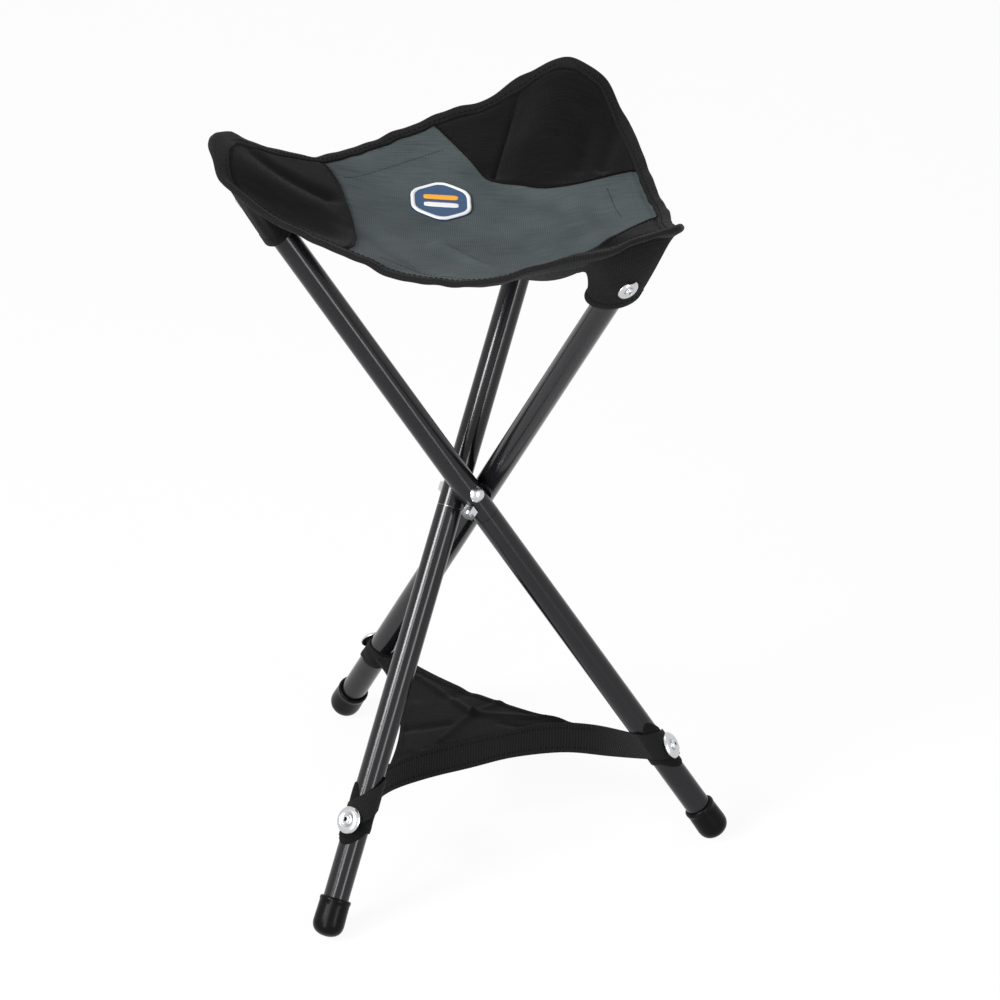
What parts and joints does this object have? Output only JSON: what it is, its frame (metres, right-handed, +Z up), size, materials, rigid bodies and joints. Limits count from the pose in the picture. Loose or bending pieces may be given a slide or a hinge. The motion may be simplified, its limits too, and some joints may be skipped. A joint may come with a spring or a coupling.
{
  "type": "folding tripod stool",
  "caption": "Folding tripod stool: crossing dark tube legs bolted at a hub, a dished fabric sling seat with dark corner patches and a fabric brace near the feet.",
  "frame": {"origin": "middle of the bounding box in plan, on the floor under the feet", "axes": "+Z up; -Y faces the camera of the picture; the left leg's top leans to -X"},
  "size_m": [0.3839, 0.3497, 0.5688],
  "materials": {
    "leg_tube": "gloss",
    "ferrule": "satin",
    "plug": "matte",
    "foot_rubber": "matte",
    "bright_steel": "satin",
    "black_fabric": "matte",
    "webbing": "matte",
    "binding": "matte",
    "seat_fabric": "matte",
    "badge_fabric": "matte"
  },
  "bodies": {
    "left_leg": {"left_upper_tube": "leg_tube", "left_lower_tube": "leg_tube", "left_ferrule": "ferrule", "left_top_plug": "plug", "left_foot_cap": "foot_rubber", "left_pocket": "black_fabric", "left_pocket_washer": "bright_steel", "left_pocket_screw": "bright_steel", "left_brace_strap": "webbing", "left_brace_washer": "bright_steel", "left_brace_screw": "bright_steel", "rear_hub_bolt": "bright_steel", "rear_hub_nut": "bright_steel", "rear_hub_spacer": "plug", "right_hub_bolt": "bright_steel", "right_hub_nut": "bright_steel", "right_hub_spacer": "plug", "seat_panel": "seat_fabric", "left_rear_binding": "binding", "rear_right_binding": "binding", "front_binding": "binding", "left_corner_patch": "black_fabric", "rear_corner_patch": "black_fabric", "right_corner_patch": "black_fabric", "seat_badge": "badge_fabric", "brace_panel": "black_fabric", "brace_webbing": "webbing"},
    "rear_leg": {"rear_upper_tube": "leg_tube", "rear_lower_tube": "leg_tube", "rear_ferrule": "ferrule", "rear_top_plug": "plug", "rear_foot_cap": "foot_rubber", "rear_pocket": "black_fabric", "rear_pocket_washer": "bright_steel", "rear_pocket_screw": "bright_steel", "rear_brace_strap": "webbing", "rear_brace_washer": "bright_steel", "rear_brace_screw": "bright_steel"},
    "right_leg": {"right_upper_tube": "leg_tube", "right_lower_tube": "leg_tube", "right_ferrule": "ferrule", "right_top_plug": "plug", "right_foot_cap": "foot_rubber", "right_pocket": "black_fabric", "right_pocket_washer": "bright_steel", "right_pocket_screw": "bright_steel", "right_brace_strap": "webbing", "right_brace_washer": "bright_steel", "right_brace_screw": "bright_steel"}
  },
  "joints": [
    {"name": "rear_leg_fold", "type": "hinge", "parent": "left_leg", "child": "rear_leg", "pos_m": [-0.01368, -0.00952, 0.28728], "axis": [0.4741, -0.8212, 0.3174], "range_deg": [0, 52], "deforming": ["seat_panel", "left_rear_binding", "rear_right_binding", "front_binding", "left_corner_patch", "rear_corner_patch", "right_corner_patch", "seat_badge", "brace_panel", "brace_webbing"]},
    {"name": "right_leg_fold", "type": "hinge", "parent": "left_leg", "child": "right_leg", "pos_m": [0.00128, -0.00952, 0.28728], "axis": [-0.4741, -0.8212, -0.3174], "range_deg": [0, 52]}
  ],
  "couplings": [
    {"joint": "right_leg_fold", "follows": "rear_leg_fold", "ratio": 1}
  ]
}
